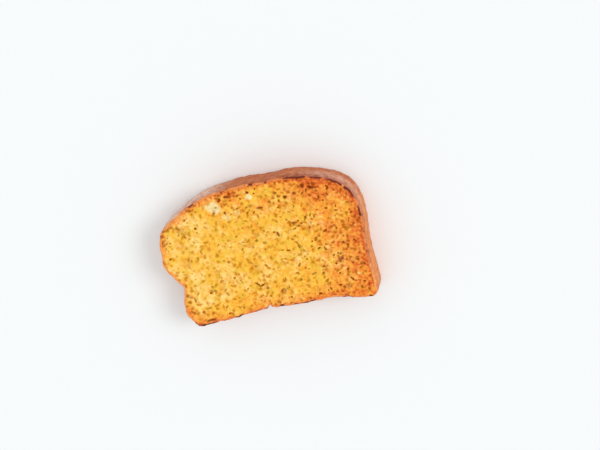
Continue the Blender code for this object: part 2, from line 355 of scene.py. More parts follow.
def noise(x, y, step, seed):
    """The same noise, with so long a step from one point of its lattice to the next."""
    return smooth_noise(x / step, y / step, seed)


def solid_noise(x, y, z, step, seed):
    """Such noise in space: layers of the plane's noise, eased from one up to the next."""
    layer = np.floor(z / step)
    share = z / step - layer
    share = share * share * (3 - 2 * share)
    low = noise(x, y, step, seed + 17 * layer)
    high = noise(x, y, step, seed + 17 * (layer + 1))
    return low + (high - low) * share


def eased(low, high, value):
    """0 below low and 1 above high, with a smooth step between them."""
    share = np.clip((value - low) / (high - low), 0, 1)
    return share * share * (3 - 2 * share)


def between(low, high, value):
    """The same step, from low to high in millimetres, for a value in metres."""
    return eased(low * MM, high * MM, value)


def sized(sizes, share):
    """The size at a share from 0 to 1 of the way between two."""
    low, high = sizes
    return low + (high - low) * share


def within(x, y, edge):
    """Which points lie inside a closed line, by how often a ray to the right crosses it."""
    x0, y0 = edge[:, 0], edge[:, 1]
    x1, y1 = np.roll(x0, -1), np.roll(y0, -1)
    spans = (y0 > y[:, None]) != (y1 > y[:, None])
    rise = np.where(y1 == y0, 1.0, y1 - y0)
    crossing = x0 + (y[:, None] - y0) / rise * (x1 - x0)
    return (spans & (x[:, None] < crossing)).sum(axis=1) % 2 == 1


def spread_points(count, seed, clearance):
    """Points spread evenly over the face, the given clearance inside the crust: one drawn in
    each cell of a lattice, and count of them."""
    draw = np.random.default_rng(seed)
    edge = outline(clearance)
    step = math.sqrt(SLICE_WIDTH * SLICE_HEIGHT * 0.78 / count)
    columns, rows = int(SLICE_WIDTH / step) + 1, int(SLICE_HEIGHT / step) + 1
    cell_x, cell_y = np.meshgrid(np.arange(columns), np.arange(rows))
    x = (cell_x.ravel() + draw.random(cell_x.size) - columns / 2) * step
    y = (cell_y.ravel() + draw.random(cell_y.size) - rows / 2) * step
    inside = within(x, y, edge)
    x, y = x[inside], y[inside]
    chosen = draw.permutation(len(x))[:count]
    return np.stack([x[chosen], y[chosen]], axis=1)


def favoured_points(count, seed, clearance, favour):
    """Evenly spread points, of which each is kept with the chance that favour gives for its
    place, and count of them at most."""
    places = spread_points(3 * count, seed, clearance)
    chance = favour(places[:, 0], places[:, 1])
    kept = places[np.random.default_rng(seed + 50).random(len(places)) < chance]
    return kept[:count]


# ---- the outline ---------------------------------------------------------------------------


def curve_through(points, samples):
    """A closed Catmull-Rom curve through the points, with so many samples to a span."""
    before, after = np.roll(points, 1, axis=0), np.roll(points, -1, axis=0)
    second = np.roll(points, -2, axis=0)
    t = (np.arange(samples) / samples)[None, :, None]
    p0, p1, p2, p3 = (p[:, None, :] for p in (before, points, after, second))
    spans = 0.5 * (
        2 * p1
        + (p2 - p0) * t
        + (2 * p0 - 5 * p1 + 4 * p2 - p3) * t**2
        + (3 * p1 - p0 - 3 * p2 + p3) * t**3
    )
    return spans.reshape(-1, 2)


def outward(line):
    """The outward unit normals of a closed line that runs anticlockwise."""
    along_line = np.roll(line, -1, axis=0) - np.roll(line, 1, axis=0)
    along_line /= np.linalg.norm(along_line, axis=1)[:, None]
    return np.stack([along_line[:, 1], -along_line[:, 0]], axis=1)


def raggedness(line, share):
    """How far the crust stands out of the smooth outline, at a share of the slice's thickness.
    It is finely uneven all round, with crags along the base and one tear in it, and it changes
    slowly from the lower face to the upper one."""
    x, y = line[:, 0] / RAGGED_STEP, line[:, 1] / RAGGED_STEP
    lower = 0.7 * smooth_noise(x, y, 2) + 0.3 * smooth_noise(2.3 * x, 2.3 * y, 5)
    upper = 0.7 * smooth_noise(x, y, 3) + 0.3 * smooth_noise(2.3 * x, 2.3 * y, 4)
    on_base = np.clip((-0.7 - line[:, 1] / (SLICE_HEIGHT / 2)) / 0.1, 0, 1)
    size = CRUST_UNEVEN + (BASE_RAGGED - CRUST_UNEVEN) * on_base
    tear = np.exp(-((2 * (line[:, 0] - TEAR_AT * SLICE_WIDTH / 2) / TEAR_WIDTH) ** 2))
    return size * (lower + (upper - lower) * share) - TEAR_DEPTH * share * tear * on_base


def outline(inset=0.0, share=1.0, samples=SAMPLES_PER_SPAN):
    """The slice's outline at a share of its thickness, drawn in by inset."""
    shares = np.array(BASE + RIGHT_SIDE + CROWN + LEFT_SIDE)
    line = curve_through(shares * (SLICE_WIDTH / 2, SLICE_HEIGHT / 2), samples)
    normals = outward(line)
    return line + normals * (raggedness(line, share) - inset)[:, None]


def sides_of(line, samples):
    """The outline cut at its four corners: base, right side, crown and left side. Each one is
    turned to run left to right or upwards."""
    counts = [len(side) for side in (BASE, RIGHT_SIDE, CROWN, LEFT_SIDE)]
    ends = np.concatenate([[0], np.cumsum(counts)]) * samples
    closed = np.vstack([line, line[:1]])
    base, right, crown, left = (closed[a : b + 1] for a, b in zip(ends[:-1], ends[1:]))
    return base, right, crown[::-1], left[::-1]


def along(side, share):
    """The points at shares 0 to 1 of a side's length."""
    steps = np.linalg.norm(np.diff(side, axis=0), axis=1)
    length = np.concatenate([[0], np.cumsum(steps)])
    at = np.asarray(share) * length[-1]
    return np.stack([np.interp(at, length, side[:, k]) for k in (0, 1)], axis=-1)


def patch(u, v, line, samples):
    """A Coons patch: the unit square laid between the four sides of an outline. It is the
    blend of the base and the crown, plus that of the two sides, less that of the corners."""
    base, right, crown, left = sides_of(line, samples)
    u1, v1 = u[:, None], v[:, None]
    between_rows = (1 - v1) * along(base, u) + v1 * along(crown, u)
    between_columns = (1 - u1) * along(left, v) + u1 * along(right, v)
    corners = (
        (1 - u1) * (1 - v1) * base[0]
        + u1 * (1 - v1) * base[-1]
        + (1 - u1) * v1 * crown[0]
        + u1 * v1 * crown[-1]
    )
    return between_rows + between_columns - corners


def to_frame(points):
    """Moves points from the outline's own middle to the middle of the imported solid."""
    low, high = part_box(NODE)
    widest = outline(-CRUST_BULGE, 0.5)
    own = (widest.min(axis=0) + widest.max(axis=0)) / 2
    shift = np.array([(low.x + high.x) / 2 - own[0], (low.y + high.y) / 2 - own[1], low.z])
    return points + shift


def edge_distance(x, y):
    """How far each point lies from the outline, worked out in blocks to save memory."""
    edge = outline()
    found = np.empty(len(x))
    for start in range(0, len(x), 8000):
        block = slice(start, start + 8000)
        apart = np.hypot(x[block, None] - edge[:, 0], y[block, None] - edge[:, 1])
        found[block] = apart.min(axis=1)
    return found


# ---- the relief of the crumb ---------------------------------------------------------------


def wave(x, y):
    """The slow rise and fall of the cut."""
    return FACE_WAVE * noise(x, y, WAVE_LENGTH, 1)


def large_pores(x, y):
    """The depth of the solid's large pores: each is a bowl, its depth a share of its radius
    times one less the square of the distance from its middle in radii."""
    places = spread_points(PORE_COUNT, PORE_SEED, EDGE_CLEARANCE)
    draw = np.random.default_rng(PORE_SEED + 1)
    radius = sized(PORE_RADIUS, draw.random(len(places)) ** 2)
    apart = np.hypot(x[:, None] - places[:, 0], y[:, None] - places[:, 1]) / radius
    return (PORE_DEPTH * radius * np.clip(1 - apart**2, 0, None)).max(axis=1)


def small_pores(x, y, size, seed):
    """Bowls like the large ones but stretched, one in each cell of a lattice, with its place,
    radius and turn drawn for that cell, and the deepest of the nine nearest at each point."""
    step, low, high, depth = size
    column, row = np.floor(x / step), np.floor(y / step)
    deepest = np.zeros(len(x))
    for right in (-1, 0, 1):
        for up in (-1, 0, 1):
            cell = column + right, row + up
            middle_x = (cell[0] + hashed(*cell, seed)) * step
            middle_y = (cell[1] + hashed(*cell, seed + 1)) * step
            radius = low + (high - low) * hashed(*cell, seed + 2) ** 2
            turn = math.pi * hashed(*cell, seed + 3)
            across, up_ = x - middle_x, y - middle_y
            long = (across * np.cos(turn) + up_ * np.sin(turn)) / PORE_STRETCH
            short = (up_ * np.cos(turn) - across * np.sin(turn)) * PORE_STRETCH
            apart = np.hypot(long, short) / radius
            deepest = np.maximum(deepest, depth * radius * np.clip(1 - apart**2, 0, None))
    return deepest


def crumb_relief(x, y, seed):
    """The crumb's own small relief, and how far each point lies down a middling pore and down
    a small one, both from 0 to 1.
    The pores' outlines are pulled about by noise, and the grain is two layers of noise."""
    pulled_x = x + sum(size * noise(x, y, step, seed) for step, size in WARPS)
    pulled_y = y + sum(size * noise(x, y, step, seed + 1) for step, size in WARPS)
    depths = [
        small_pores(pulled_x, pulled_y, size, seed + 10 * number)
        for number, size in enumerate(SMALL_PORES)
    ]
    grain = sum(
        size * noise(x, y, step, seed + 40 + number)
        for number, (step, size) in enumerate(GRAIN)
    )
    deepest = [share * high for _, _, high, share in SMALL_PORES]
    dip, pit = (depths[number] / deepest[number] for number in (0, 1))
    return grain - np.max(depths, axis=0), dip, pit


def marked(x, y, kind):
    """How strongly each point carries the marks of a kind: each is a soft-edged ellipse, ragged
    by noise."""
    strength = np.zeros(len(x))
    ragged = noise(x, y, 1.4 * MM, 71)
    for middle_x, middle_y, length, width, turn, most in MARKS[kind]:
        across, up = x - middle_x * MM, y - middle_y * MM
        cos, sin = math.cos(math.radians(turn)), math.sin(math.radians(turn))
        long = (across * cos + up * sin) / (length * MM / 2)
        short = (up * cos - across * sin) / (width * MM / 2)
        apart = np.hypot(long, short) + min(0.35, 0.1 * width) * ragged
        strength = np.maximum(strength, most * eased(1.2, 0.6, apart))
    return strength


def top_height(x, y):
    """The height of the toasted face, with how far it lies down a large and a small pore."""
    hollow = large_pores(x, y)
    small, dip, pit = crumb_relief(x, y, 20)
    crack = marked(x, y, "crack")
    height = SLICE_THICKNESS + wave(x, y) - hollow + small - 0.7 * MM * crack
    # The crack counts as a small pore here, so the material paints shade in it too.
    return height, np.clip(hollow / (1.4 * MM) + 0.6 * dip, 0, 1), np.maximum(pit, crack)


def toasting(x, y):
    """How toasted the upper face is, from under 0 for pale over 1 for orange to 1.6 for scorched
    red. The right side was nearest to the heat, then the crown, and the left side furthest.
    From that it changes to a fixed toasting at the crust, within a few millimetres of it."""
    slow = noise(x, y, 13 * MM, 31)
    quick = noise(x, y, 5 * MM, 32)
    upper = between(-5, 15, y)
    right = between(26 - 12 * upper, 54, x + 5 * MM * slow)
    crown = between(20, 40, y + 3 * MM * slow) * between(-75, -30, x)
    left = between(20, -55, x)
    lower = 0.28 * between(-18, -32, y)
    base = between(-20, -36, y)
    face = (0.95 - 0.2 * upper - 0.2 * base) * right + 0.5 * crown * (1 - 0.4 * right)
    face -= 0.25 * left
    face += lower + 0.35 * marked(x, y, "butter")
    uneven = (0.17 + 0.14 * np.maximum(right, crown)) * (0.8 * slow + quick)

    by_side = between(50, 66, x) * between(-40, -25, y)
    by_crown = 0.8 * between(-60, 10, x) * between(16, 38, y)
    by_base = between(-35, -41, y) * between(5, 30, x)
    in_corner = 0.5 * between(46, 56, x) * between(-33, -40, y)
    in_middle = 0.3 * between(0, -12, x) * between(-40, -25, x)
    most = np.maximum(np.maximum(by_side, by_crown), by_base)
    crust = 1.05 + 0.45 * most - in_corner - in_middle * between(-30, -38, y)
    crust += 0.2 * quick + 0.1 * slow
    reach = (3.6 + 0.6 * left + 0.8 * by_crown + 1.6 * slow) * MM
    near = np.exp(-((edge_distance(x, y) / reach) ** 1.5))
    return (face + uneven) * (1 - near) + crust * near


def soaking(x, y):
    """How much butter the crumb took up, from 0 to 1: it grows from the left to the right, more
    so in the upper half and towards the base, and it is most in the marked pools."""
    right = between(-50, -15, x)
    upper = between(-25, 5, y)
    lower = between(-12, -30, y)
    return np.clip(0.5 * right + 0.3 * upper + 0.4 * lower + marked(x, y, "butter"), 0, 1)


def browning(y):
    """How brown the crust baked: most at the crown, half as much on the base."""
    return np.maximum(between(10, 40, y), 0.5 * between(-36, -43, y))


def flouring(x, y, z):
    """How much flour the crust still carries: most at the crown's left end, and some round its
    right end, towards the upper face."""
    left = between(-8, -38, x) * between(0, 25, y)
    corner = between(22, 48, x) * between(-5, 38, y)
    return np.maximum(left, 0.42 * corner * between(2, 15, z))


def charring(x, y):
    """How readily the crust's cut edge is charred: most along the crown's right half, less on
    the right side and the base, and least along the crown's left half."""
    crown = between(12, 30, x) * between(30, 42, y)
    right = 0.65 * between(58, 64, x) * between(-32, -14, y)
    base = 0.6 * between(-38, -41, y) * between(-64, -52, x)
    left = 0.4 * between(-56, -44, x) * between(28, 36, y)
    return np.max([crown, right, base, left], axis=0)


# ---- meshes --------------------------------------------------------------------------------


def grid_faces(columns, rows):
    """The quads of a grid of points, numbered along its rows, with the rows going up."""
    index = np.arange((columns + 1) * (rows + 1)).reshape(rows + 1, columns + 1)
    corners = index[:-1, :-1], index[:-1, 1:], index[1:, 1:], index[1:, :-1]
    return np.stack([c.ravel() for c in corners], axis=1)


def grid_rim(columns, rows):
    """The points round such a grid, anticlockwise from its first."""
    index = np.arange((columns + 1) * (rows + 1)).reshape(rows + 1, columns + 1)
    return np.concatenate([index[0, :-1], index[:-1, -1], index[-1, :0:-1], index[:0:-1, 0]])


def ring_faces(lower, upper):
    """The quads between two rings of as many points, facing out."""
    next_lower, next_upper = np.roll(lower, -1), np.roll(upper, -1)
    return np.stack([lower, next_lower, next_upper, upper], axis=1)


def halving_faces(lower, upper):
    """The triangles from a ring up to one of twice as many points, facing out."""
    next_lower = np.roll(lower, -1)
    first, middle, last = upper[0::2], upper[1::2], np.roll(upper[0::2], -1)
    parts = (lower, next_lower, middle), (lower, middle, first), (next_lower, last, middle)
    return np.concatenate([np.stack(part, axis=1) for part in parts])


def make_piece(name, points, faces, material, values=None, bake=None):
    """Links a mesh piece, with one number to a point for each of its named values and a map
    for its corners, and gives it its material and the body that it rides on."""
    mesh = bpy.data.meshes.new(name)
    mesh.from_pydata(to_frame(points).tolist(), [], faces)
    for label, numbers in (values or {}).items():
        layer = mesh.attributes.new(label, "FLOAT", "POINT")
        layer.data.foreach_set("value", numbers.astype(np.float32))
    if bake is not None:
        layer = mesh.uv_layers.new(name="OFBake")
        layer.uv.foreach_set("vector", bake.astype(np.float32).ravel())
    mesh.materials.append(material)
    mesh.shade_smooth()
    piece = bpy.data.objects.new(name, mesh)
    bpy.context.scene.collection.objects.link(piece)
    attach(piece, BODY)
    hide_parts(NODE)
    return piece


# ---- the crumb -----------------------------------------------------------------------------


def crumb_face(columns, rows, share):
    """One cut face as a grid of points over the unit square, and its places in the slice."""
    u, v = np.meshgrid(np.linspace(0, 1, columns + 1), np.linspace(0, 1, rows + 1))
    line = outline(CRUMB_INSET, share, FINE_SAMPLES)
    u, v = u.ravel(), v.ravel()
    return u, v, patch(u, v, line, FINE_SAMPLES)


def on_map(u, v, place):
    """A face's points on the map, from their places in the unit square."""
    left, bottom, width, height = place
    return np.column_stack([left + width * u, bottom + height * v])


def side_map(count):
    """The crumb's side on its map, unrolled from left to right: the quads under the upper rim,
    then the triangles below them, in the order in which they are made."""
    low, middle, quad_low, quad_high = SIDE_ROWS
    step = np.arange(count)
    quad_u = (step[:, None] + [0, 1, 1, 0]) / count
    quad_v = np.tile([quad_low, quad_low, quad_high, quad_high], (count, 1))
    start = 2 * np.arange(count // 2)[:, None]
    corner_u = [start + steps for steps in ([0, 2, 1], [0, 1, 0], [2, 2, 1])]
    triangle_u = np.concatenate(corner_u) / count
    corner_v = ((low, low, middle), (low, middle, middle), (low, middle, middle))
    triangle_v = np.repeat(corner_v, count // 2, axis=0)
    u = np.concatenate([quad_u.ravel(), triangle_u.ravel()])
    v = np.concatenate([quad_v.ravel(), triangle_v.ravel()])
    left, width = SIDE_ON_MAP
    return np.column_stack([left + width * u, v])


def make_crumb(settings):
    """Both cut faces and the side between them, which the crust hides. The upper face is
    top_height over a Coons patch. The lower one is flat, with pores that go up into it, and
    has half as many columns and rows, so the side's triangles halve the upper rim."""
    u, v, upper = crumb_face(TOP_COLUMNS, TOP_ROWS, 1.0)
    x, y = upper.T
    height, hollow, pit = top_height(x, y)
    toast = toasting(x, y) * settings.toast
    # Besides the burn marks, the crack is darkened with the charred colour: painted shade in the crease.
    burn = np.maximum(marked(x, y, "burn"), marked(x, y, "crack"))
    top = np.column_stack([upper, height])
    top_rim = grid_rim(TOP_COLUMNS, TOP_ROWS)
    top[top_rim, 2] -= 0.5 * MM

    shoulder = top[top_rim].copy()
    shoulder[:, 2] -= 2.0 * MM

    columns, rows = TOP_COLUMNS // 2, TOP_ROWS // 2
    low_u, low_v, lower = crumb_face(columns, rows, 0.0)
    relief, low_dip, low_pit = crumb_relief(lower[:, 0], lower[:, 1], 60)
    bottom = np.column_stack([lower, np.clip(-relief, 0, None)])
    low_rim = grid_rim(columns, rows)
    bottom[low_rim, 2] = 0.0
    low_toast = toasting(lower[:, 0], lower[:, 1]) * settings.toast

    points = np.vstack([top, shoulder, bottom])
    shoulder_ring = len(top) + np.arange(len(top_rim))
    low_start = len(top) + len(shoulder)
    low_ring = low_start + low_rim
    top_faces = grid_faces(TOP_COLUMNS, TOP_ROWS)
    bottom_faces = low_start + grid_faces(columns, rows)[:, ::-1]
    quads = np.vstack([top_faces, bottom_faces, ring_faces(shoulder_ring, top_rim)])
    triangles = halving_faces(low_ring, shoulder_ring)
    faces = quads.tolist() + triangles.tolist()

    # The map: the upper face in the upper two thirds, the lower one below its left half, and
    # the hidden side, unrolled, below its right half.
    on_top, on_bottom = on_map(u, v, TOP_ON_MAP), on_map(low_u, low_v, BOTTOM_ON_MAP)
    faces_place = np.vstack([on_top, np.zeros((len(shoulder), 2)), on_bottom])
    open_faces = quads[: -len(top_rim)]
    bake = np.vstack([faces_place[open_faces.ravel()], side_map(len(top_rim))])
    flat = np.zeros(len(shoulder))
    below = np.zeros(len(shoulder) + len(bottom))
    values = {
        "toast": np.concatenate([toast, flat + 1, low_toast]),
        "soak": np.concatenate([soaking(x, y), flat, np.full(len(bottom), 0.5)]),
        "hollow": np.concatenate([hollow + 2 * marked(x, y, "amber"), flat, low_dip]),
        "pit": np.concatenate([pit, flat, low_pit]),
        "burn": np.concatenate([burn, below]),
    }
    for kind in ("bare", "smudge", "stain"):
        values[kind] = np.concatenate([marked(x, y, kind), below])
    material = crumb_material(settings)
    make_piece("toasted_crumb", points, faces, material, values, bake)


# ---- the crust -----------------------------------------------------------------------------


def crust_profile(depth):
    """The crust's cross-section, once round and closed: up the outside from the lower edge,
    over the upper edge, and down inside the crumb. Each point has its inset from the outline,
    its height, and how much of the upper face's wave it follows."""
    quarter = np.linspace(0, math.pi / 2, 7)
    wall = np.linspace(0, 1, CRUST_WALL_ROWS)[1:-1]
    lower_edge = (EDGE_INSET * (1 - np.sin(quarter)), EDGE_DROP * (1 - np.cos(quarter)))
    outside = (
        -CRUST_BULGE * np.sin(math.pi * wall),
        EDGE_DROP + wall * (SLICE_THICKNESS - 2 * EDGE_DROP),
    )
    upper_edge = (
        EDGE_INSET * (1 - np.cos(quarter)),
        SLICE_THICKNESS - EDGE_DROP * (1 - np.sin(quarter)),
    )
    lip = np.array([0.3, 0.6, 0.85, 1.0])
    lip_inset = EDGE_INSET + (depth - EDGE_INSET) * lip
    lip_height = SLICE_THICKNESS - 1.2 * MM * lip**4
    inside_inset = np.array([1.15, 1.2, 1.2, 1.0]) * depth
    inside_height = np.array([SLICE_THICKNESS - 3 * MM, SLICE_THICKNESS / 2, 2 * MM, 0.4 * MM])
    inset = np.concatenate([lower_edge[0], outside[0], upper_edge[0], lip_inset, inside_inset])
    height = np.concatenate(
        [lower_edge[1], outside[1], upper_edge[1], lip_height, inside_height]
    )
    follow = eased(SLICE_THICKNESS - EDGE_DROP, SLICE_THICKNESS, height)
    follow[-len(inside_inset) - 1 :] = (1, 1, 0, 0, 0)
    return inset, height, follow


def crust_map(rows):
    """The band on its map, face by face: cut into strips of as many columns, which lie one
    above another with a small gap between them."""
    row, column = np.divmod(np.arange(rows * CRUST_COLUMNS), CRUST_COLUMNS)
    in_strip = CRUST_COLUMNS // CRUST_STRIPS
    strip = column // in_strip
    u = ((column % in_strip)[:, None] + [0, 1, 1, 0]) / in_strip
    v = (strip[:, None] + 0.02 + 0.96 * (row[:, None] + [0, 0, 1, 1]) / rows) / CRUST_STRIPS
    return np.stack([0.01 + 0.98 * u, v], axis=-1).reshape(-1, 2)


def make_crust(settings):
    """A closed band round the crumb: crust_profile carried along the outline. Its outside is
    wrinkled by noise in space, and its upper lip is uneven."""
    inset, height, follow = crust_profile(settings.depth)
    guide = outline(0.0, 0.5, FINE_SAMPLES)
    steps = np.linalg.norm(np.roll(guide, -1, axis=0) - guide, axis=1)
    length = np.concatenate([[0], np.cumsum(steps)])
    at = np.interp(
        np.arange(CRUST_COLUMNS) / CRUST_COLUMNS * length[-1], length, np.arange(len(length))
    )
    line_rows = []
    for row_inset, row_height in zip(inset, height):
        line = outline(row_inset, np.clip(row_height / SLICE_THICKNESS, 0, 1), FINE_SAMPLES)
        closed = np.vstack([line, line[:1]])
        spots = [np.interp(at, np.arange(len(closed)), closed[:, k]) for k in (0, 1)]
        line_rows.append(np.stack(spots, axis=1))
    places = np.array(line_rows)
    x, y = places[..., 0], places[..., 1]
    z = np.repeat(height[:, None], CRUST_COLUMNS, axis=1)
    z = z + follow[:, None] * wave(x.ravel(), y.ravel()).reshape(x.shape)

    normals = outward(places[len(height) // 3])
    wrinkle = sum(size * solid_noise(x, y, z, step, seed) for step, size, seed in WRINKLES)
    at_edge = eased(SLICE_THICKNESS - 4 * MM, SLICE_THICKNESS, height)[:, None]
    step, size = EDGE_WAVE
    wrinkle += size * at_edge * noise(x, y, step, 21)
    visible = inset < 0.85 * settings.depth
    x = x + normals[:, 0] * wrinkle * visible[:, None]
    y = y + normals[:, 1] * wrinkle * visible[:, None]
    on_lip = eased(SLICE_THICKNESS - 0.6 * MM, SLICE_THICKNESS, height)[:, None]
    step, size = LIP_WAVE
    z = z + size * on_lip * noise(x, y, step, 15)
    z = np.maximum(z, 0)

    rows = len(height)
    index = np.arange(rows * CRUST_COLUMNS).reshape(rows, CRUST_COLUMNS)
    up, right = np.roll(index, -1, axis=0), np.roll(index, -1, axis=1)
    up_right = np.roll(up, -1, axis=1)
    faces = np.stack([index, right, up_right, up], axis=-1).reshape(-1, 4)

    rim = eased(SLICE_THICKNESS - 2.0 * MM, SLICE_THICKNESS - 0.4 * MM, height)
    rim = np.maximum(rim, 0.35 * between(1.4, 0.2, height))
    outer = 1 - 0.5 * eased(0.5 * EDGE_INSET, settings.depth, inset)
    x, y, z = x.ravel(), y.ravel(), z.ravel()
    char = charring(x, y)
    values = {
        "rim": np.repeat(rim, CRUST_COLUMNS),
        "brown": browning(y),
        "flour": flouring(x, y, z),
        "char": char * np.repeat(outer, CRUST_COLUMNS),
        "scorch": char * eased(SLICE_THICKNESS - 9 * MM, SLICE_THICKNESS - 1 * MM, z),
        "burn": marked(x, y, "burn") * (z > SLICE_THICKNESS - 3 * MM),
    }
    points = np.stack([x, y, z], axis=-1)
    material = crust_material(settings)
    make_piece("crust", points, faces.tolist(), material, values, crust_map(rows))


# ---- the toppings --------------------------------------------------------------------------

FINE_PARSLEY_LENGTH = (1.8 * MM, 3.4 * MM)
FINE_PARSLEY_SEED = 41
FINE_GARLIC_SIZE = (1.0 * MM, 2.2 * MM)
FINE_GARLIC_SEED = 43
DARK_CRUMB_SIZE = (1.3 * MM, 2.7 * MM)
DARK_CRUMB_SEED = 91

# How many points lie in a ring of each small shape, and how many rings it has.
CHIP_SHAPE = (8, 3)
GARLIC_SHAPE = (12, 7)
DARK_CRUMB_SHAPE = (6, 3)


def shell_faces(sides, rings):
    """A small closed shape's triangles: the upper pole, the rings going down, and the lower
    pole."""
    k = np.arange(sides)
    after = (k + 1) % sides
    last = 1 + sides * rings
    parts = [(0 * k, 1 + k, 1 + after)]
    for ring in range(rings - 1):
        here, below = 1 + sides * ring, 1 + sides * (ring + 1)
        parts.append((here + k, below + k, below + after))
        parts.append((here + k, below + after, here + after))
    low = 1 + sides * (rings - 1)
    parts.append((low + k, 0 * k + last, low + after))
    return np.concatenate([np.stack(part, axis=1) for part in parts])


def chips(places, length, width, turn, lean, draw):
    """Curled leaf chips: discs with a wavy rim, thickest in the middle, bent along their
    length by the square of the distance from it, leaned, turned and set on the crumb."""
    sides = CHIP_SHAPE[0]
    count = len(places)
    angle = TURN * np.arange(sides) / sides
    phase = TURN * draw.random((count, 3, 1))
    reach = 0.5 * (
        1
        + 0.16 * np.cos(2 * angle + phase[:, 0])
        + 0.14 * np.cos(3 * angle + phase[:, 1])
        + 0.08 * np.cos(5 * angle + phase[:, 2])
    )
    ring_x, ring_y = reach * np.cos(angle), reach * np.sin(angle)
    middle = np.zeros((count, 1))
    x = np.concatenate([middle, 0.6 * ring_x, ring_x, 0.6 * ring_x, middle], axis=1)
    y = np.concatenate([middle, 0.6 * ring_y, ring_y, 0.6 * ring_y, middle], axis=1)
    x, y = x * length[:, None], y * width[:, None]
    side = np.repeat([0.5, 0.4, 0.0, -0.4, -0.5], [1, sides, sides, sides, 1])
    thickness = 0.22 * length[:, None]
    curl = (draw.random((count, 1)) - 0.35) * 1.1
    z = side * thickness + curl * (x**2 / length[:, None] - length[:, None] / 12)
    z = z + y * lean[:, :1] - x * lean[:, 1:]
    return set_on_crumb(places, x, y, z, turn)


def lumps(places, size, width, height, turn, shape, draw):
    """Uneven lumps: ellipsoids whose radius waves round them, turned and set on the crumb."""
    sides, rings = shape
    count = len(places)
    angle = TURN * np.arange(sides) / sides
    down = math.pi * (np.arange(rings) + 1) / (rings + 1)
    phase = TURN * draw.random((count, 3, 1, 1))
    uneven = (
        1
        + 0.15 * np.cos(2 * angle + phase[:, 0])
        + 0.13 * np.cos(3 * angle + phase[:, 1] + 2 * down[:, None])
        + 0.08 * np.cos(4 * angle + phase[:, 2] - 3 * down[:, None])
    )
    x = 0.5 * uneven * np.sin(down)[:, None] * np.cos(angle)
    y = 0.5 * uneven * np.sin(down)[:, None] * np.sin(angle)
    z = 0.5 * uneven * np.cos(down)[:, None]
    middle, pole = np.zeros((count, 1)), np.full((count, 1), 0.5)
    x = np.concatenate([middle, x.reshape(count, -1), middle], axis=1) * size[:, None]
    y = np.concatenate([middle, y.reshape(count, -1), middle], axis=1) * width[:, None]
    z = np.concatenate([pole, z.reshape(count, -1), -pole], axis=1) * height[:, None]
    return set_on_crumb(places, x, y, z, turn)


def set_on_crumb(places, x, y, z, turn):
    """Turns each shape about its middle and puts it at its place on the toasted face."""
    cos, sin = np.cos(turn)[:, None], np.sin(turn)[:, None]
    ground = top_height(places[:, 0], places[:, 1])[0]
    turned_x, turned_y = x * cos - y * sin, x * sin + y * cos
    moved = [places[:, :1] + turned_x, places[:, 1:] + turned_y, ground[:, None] + z]
    return np.stack(moved, axis=-1)


def scatter(name, shapes, faces, shade, material):
    """Many like shapes as one piece: all their points, the faces of each in turn, and one
    shade for all the points of a shape."""
    count, size = shapes.shape[:2]
    offsets = (np.arange(count) * size)[:, None, None]
    triangles = (faces[None] + offsets).reshape(-1, 3).tolist()
    values = {"shade": np.repeat(shade, size)}
    make_piece(name, shapes.reshape(-1, 3), triangles, material, values)


def more_where_toasted(x, y):
    """The chance of a small fleck: it grows to the right and towards the crown, and none lies
    on the bare patches."""
    right = between(-10, 55, x)
    crown = between(10, 42, y)
    patches = noise(x, y, 11 * MM, 81)
    chance = np.clip(0.15 + 0.6 * right + 0.55 * crown + 0.3 * patches, 0.05, 1)
    return chance * (marked(x, y, "bare") < 0.1)


def make_parsley(settings):
    """The solid's large flakes at their own places, and smaller flecks among them."""
    places = spread_points(PARSLEY_COUNT, PARSLEY_SEED, EDGE_CLEARANCE)
    share = np.random.default_rng(PARSLEY_SEED + 1).random((len(places), 5))
    length = sized(PARSLEY_LENGTH, share[:, 0])
    width = length * (0.45 + 0.3 * share[:, 1])
    lean, turn = 0.35 * (share[:, 2:4] - 0.5), TURN * share[:, 4]

    draw = np.random.default_rng(PARSLEY_SEED + 2)
    fine = favoured_points(
        settings.fine_parsley, FINE_PARSLEY_SEED, 3 * MM, more_where_toasted
    )
    fine_length = sized(FINE_PARSLEY_LENGTH, draw.random(len(fine)) ** 1.5)
    fine_width = fine_length * (0.55 + 0.4 * draw.random(len(fine)))
    places = np.vstack([places, fine])
    length = np.concatenate([length * 0.8, fine_length])
    width = np.concatenate([width * 0.9, fine_width])
    lean = np.vstack([lean, 0.6 * (draw.random((len(fine), 2)) - 0.5)])
    turn = np.concatenate([turn, TURN * draw.random(len(fine))])
    shapes = chips(places, length, width, turn, lean, draw)
    x, y = places.T
    shade = 0.6 * draw.random(len(places)) + 0.8 * toasting(x, y) - marked(x, y, "bare")
    material = parsley_material(settings)
    scatter("parsley", shapes, shell_faces(*CHIP_SHAPE), shade, material)


def make_garlic(settings):
    """The solid's large bits at their own places, and smaller ones among them."""
    places = spread_points(GARLIC_COUNT, GARLIC_SEED, 2 * EDGE_CLEARANCE)
    share = np.random.default_rng(GARLIC_SEED + 1).random((len(places), 3))
    size = sized(GARLIC_SIZE, share[:, 0])
    width = size * (0.65 + 0.25 * share[:, 1])
    turn = TURN * share[:, 2]

    draw = np.random.default_rng(GARLIC_SEED + 2)
    fine = spread_points(settings.fine_garlic, FINE_GARLIC_SEED, EDGE_CLEARANCE)
    fine_size = sized(FINE_GARLIC_SIZE, draw.random(len(fine)))
    places = np.vstack([places, fine])
    size = np.concatenate([size * 0.9, fine_size])
    width = np.concatenate([width * 0.9, fine_size * (0.6 + 0.3 * draw.random(len(fine)))])
    turn = np.concatenate([turn, TURN * draw.random(len(fine))])
    shapes = lumps(places, size, width, 0.42 * size, turn, GARLIC_SHAPE, draw)
    shade = draw.random(len(places))
    material = garlic_material(settings)
    scatter("garlic_bits", shapes, shell_faces(*GARLIC_SHAPE), shade, material)


